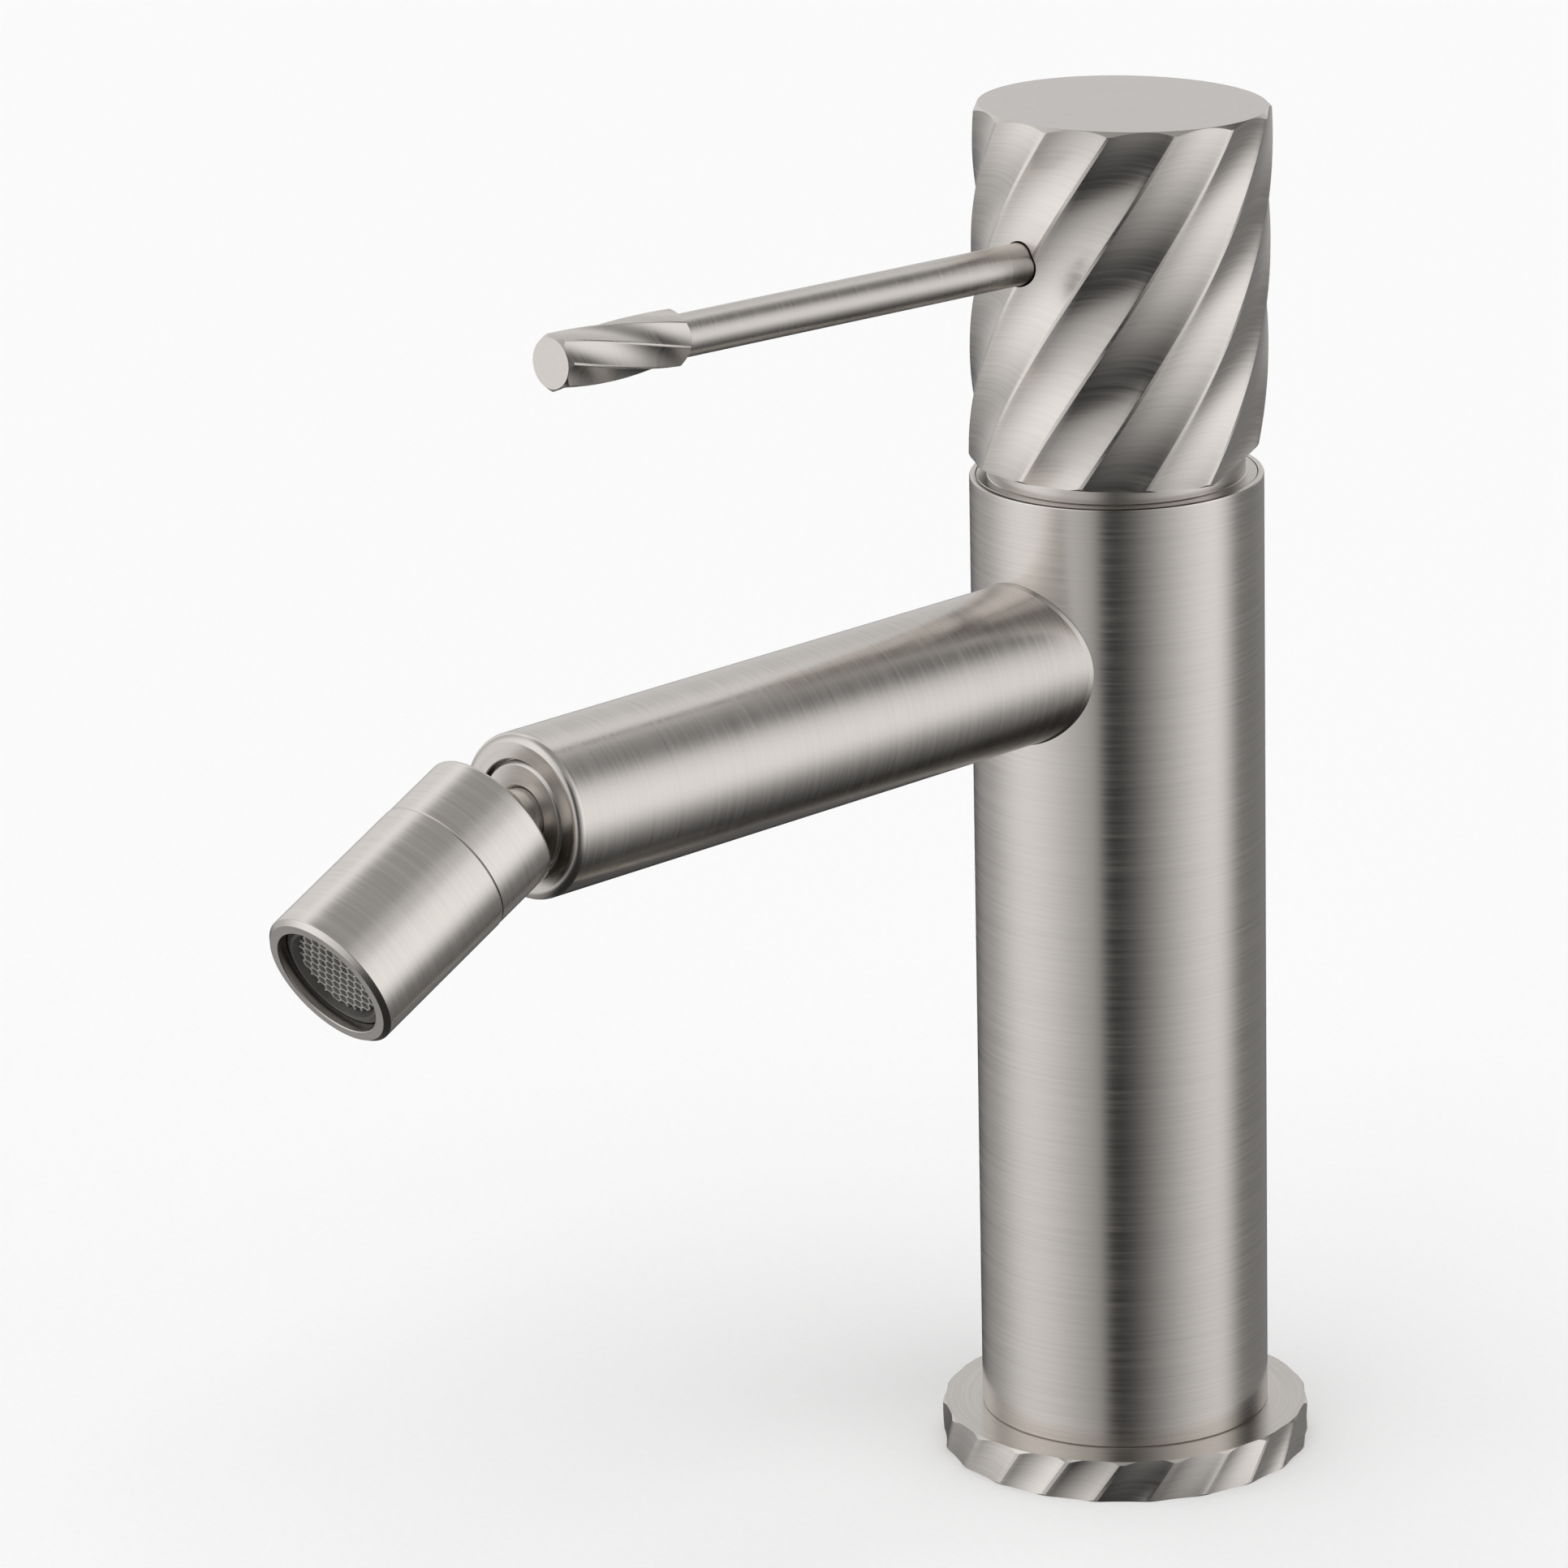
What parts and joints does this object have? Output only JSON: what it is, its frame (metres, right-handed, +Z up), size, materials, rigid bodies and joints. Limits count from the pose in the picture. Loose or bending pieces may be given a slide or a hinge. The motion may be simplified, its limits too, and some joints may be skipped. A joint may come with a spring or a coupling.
{
  "type": "bidet mixer",
  "caption": "Single lever bidet mixer: round column on a fluted base, straight spout with a tilting aerator nozzle, and a helically fluted knob with a thin side lever.",
  "frame": {"origin": "middle of the column's underside, in the plane that stands on the bidet's deck", "axes": "+Z up along the column; the spout and the lever point along -Y; +X is to the right of someone who faces the spout and looks along +Y"},
  "size_m": [0.0512, 0.1744, 0.1916],
  "materials": {
    "brushed_nickel": "brushed round the axis",
    "satin_nickel": "satin",
    "turned_nickel": "turned",
    "steel": "satin",
    "brass": "turned",
    "rubber": "matt",
    "ceramic": "lapped",
    "white_plastic": "moulded",
    "orange_plastic": "moulded",
    "grey_plastic": "moulded",
    "light_grey_plastic": "moulded"
  },
  "bodies": {
    "body": {"base_flange": "brushed_nickel", "base_gasket": "rubber", "body_column": "brushed_nickel", "spout_tube": "brushed_nickel", "spout_nipple": "brass", "spout_o_ring": "rubber", "retaining_ring": "turned_nickel", "cartridge_base": "white_plastic", "inlet_seals": "rubber", "disc_gasket": "rubber", "fixed_disc": "ceramic", "cartridge_housing": "white_plastic", "housing_o_ring": "rubber", "cartridge_nut": "brass", "cover_dome": "satin_nickel"},
    "turning_guide": {"cartridge_rotor": "orange_plastic", "rotor_pin": "steel"},
    "handle": {"lever_stem": "steel", "handle_knob": "brushed_nickel", "knob_bush": "white_plastic", "grub_screw": "steel", "lever_rod": "satin_nickel", "lever_tip": "satin_nickel"},
    "valve_slide": {"disc_carrier": "orange_plastic", "moving_disc": "ceramic"},
    "swivel": {"swivel_stem": "turned_nickel", "stem_o_ring": "rubber"},
    "nozzle": {"nozzle_collar": "brushed_nickel", "ball_o_ring": "rubber", "ball_seat": "white_plastic", "nozzle_shell": "brushed_nickel", "aerator_washer": "rubber", "aerator_housing": "grey_plastic", "aerator_grille": "light_grey_plastic", "aerator_jet_plate": "light_grey_plastic"}
  },
  "joints": [
    {"name": "temperature_turn", "type": "hinge", "parent": "body", "child": "turning_guide", "pos_m": [0, 0, 0.1373], "axis": [0, 0, 1], "range_deg": [-45, 45]},
    {"name": "lever_lift", "type": "hinge", "parent": "turning_guide", "child": "handle", "pos_m": [0, 0, 0.1373], "axis": [-1, 0, 0], "range_deg": [-2, 18]},
    {"name": "disc_slide", "type": "slide", "parent": "turning_guide", "child": "valve_slide", "axis": [0, -1, 0], "range_m": [-0.00048, 0.00432]},
    {"name": "nozzle_swivel", "type": "hinge", "parent": "body", "child": "swivel", "pos_m": [0, -0.1004, 0.1174], "axis": [0, -1, 0], "continuous": true},
    {"name": "nozzle_tilt", "type": "hinge", "parent": "swivel", "child": "nozzle", "pos_m": [0, -0.1175, 0.1174], "axis": [-1, 0, 0], "range_deg": [-1.5, 55.5]}
  ],
  "couplings": [
    {"joint": "disc_slide", "follows": "lever_lift", "m_per_rad": 0.01375}
  ]
}
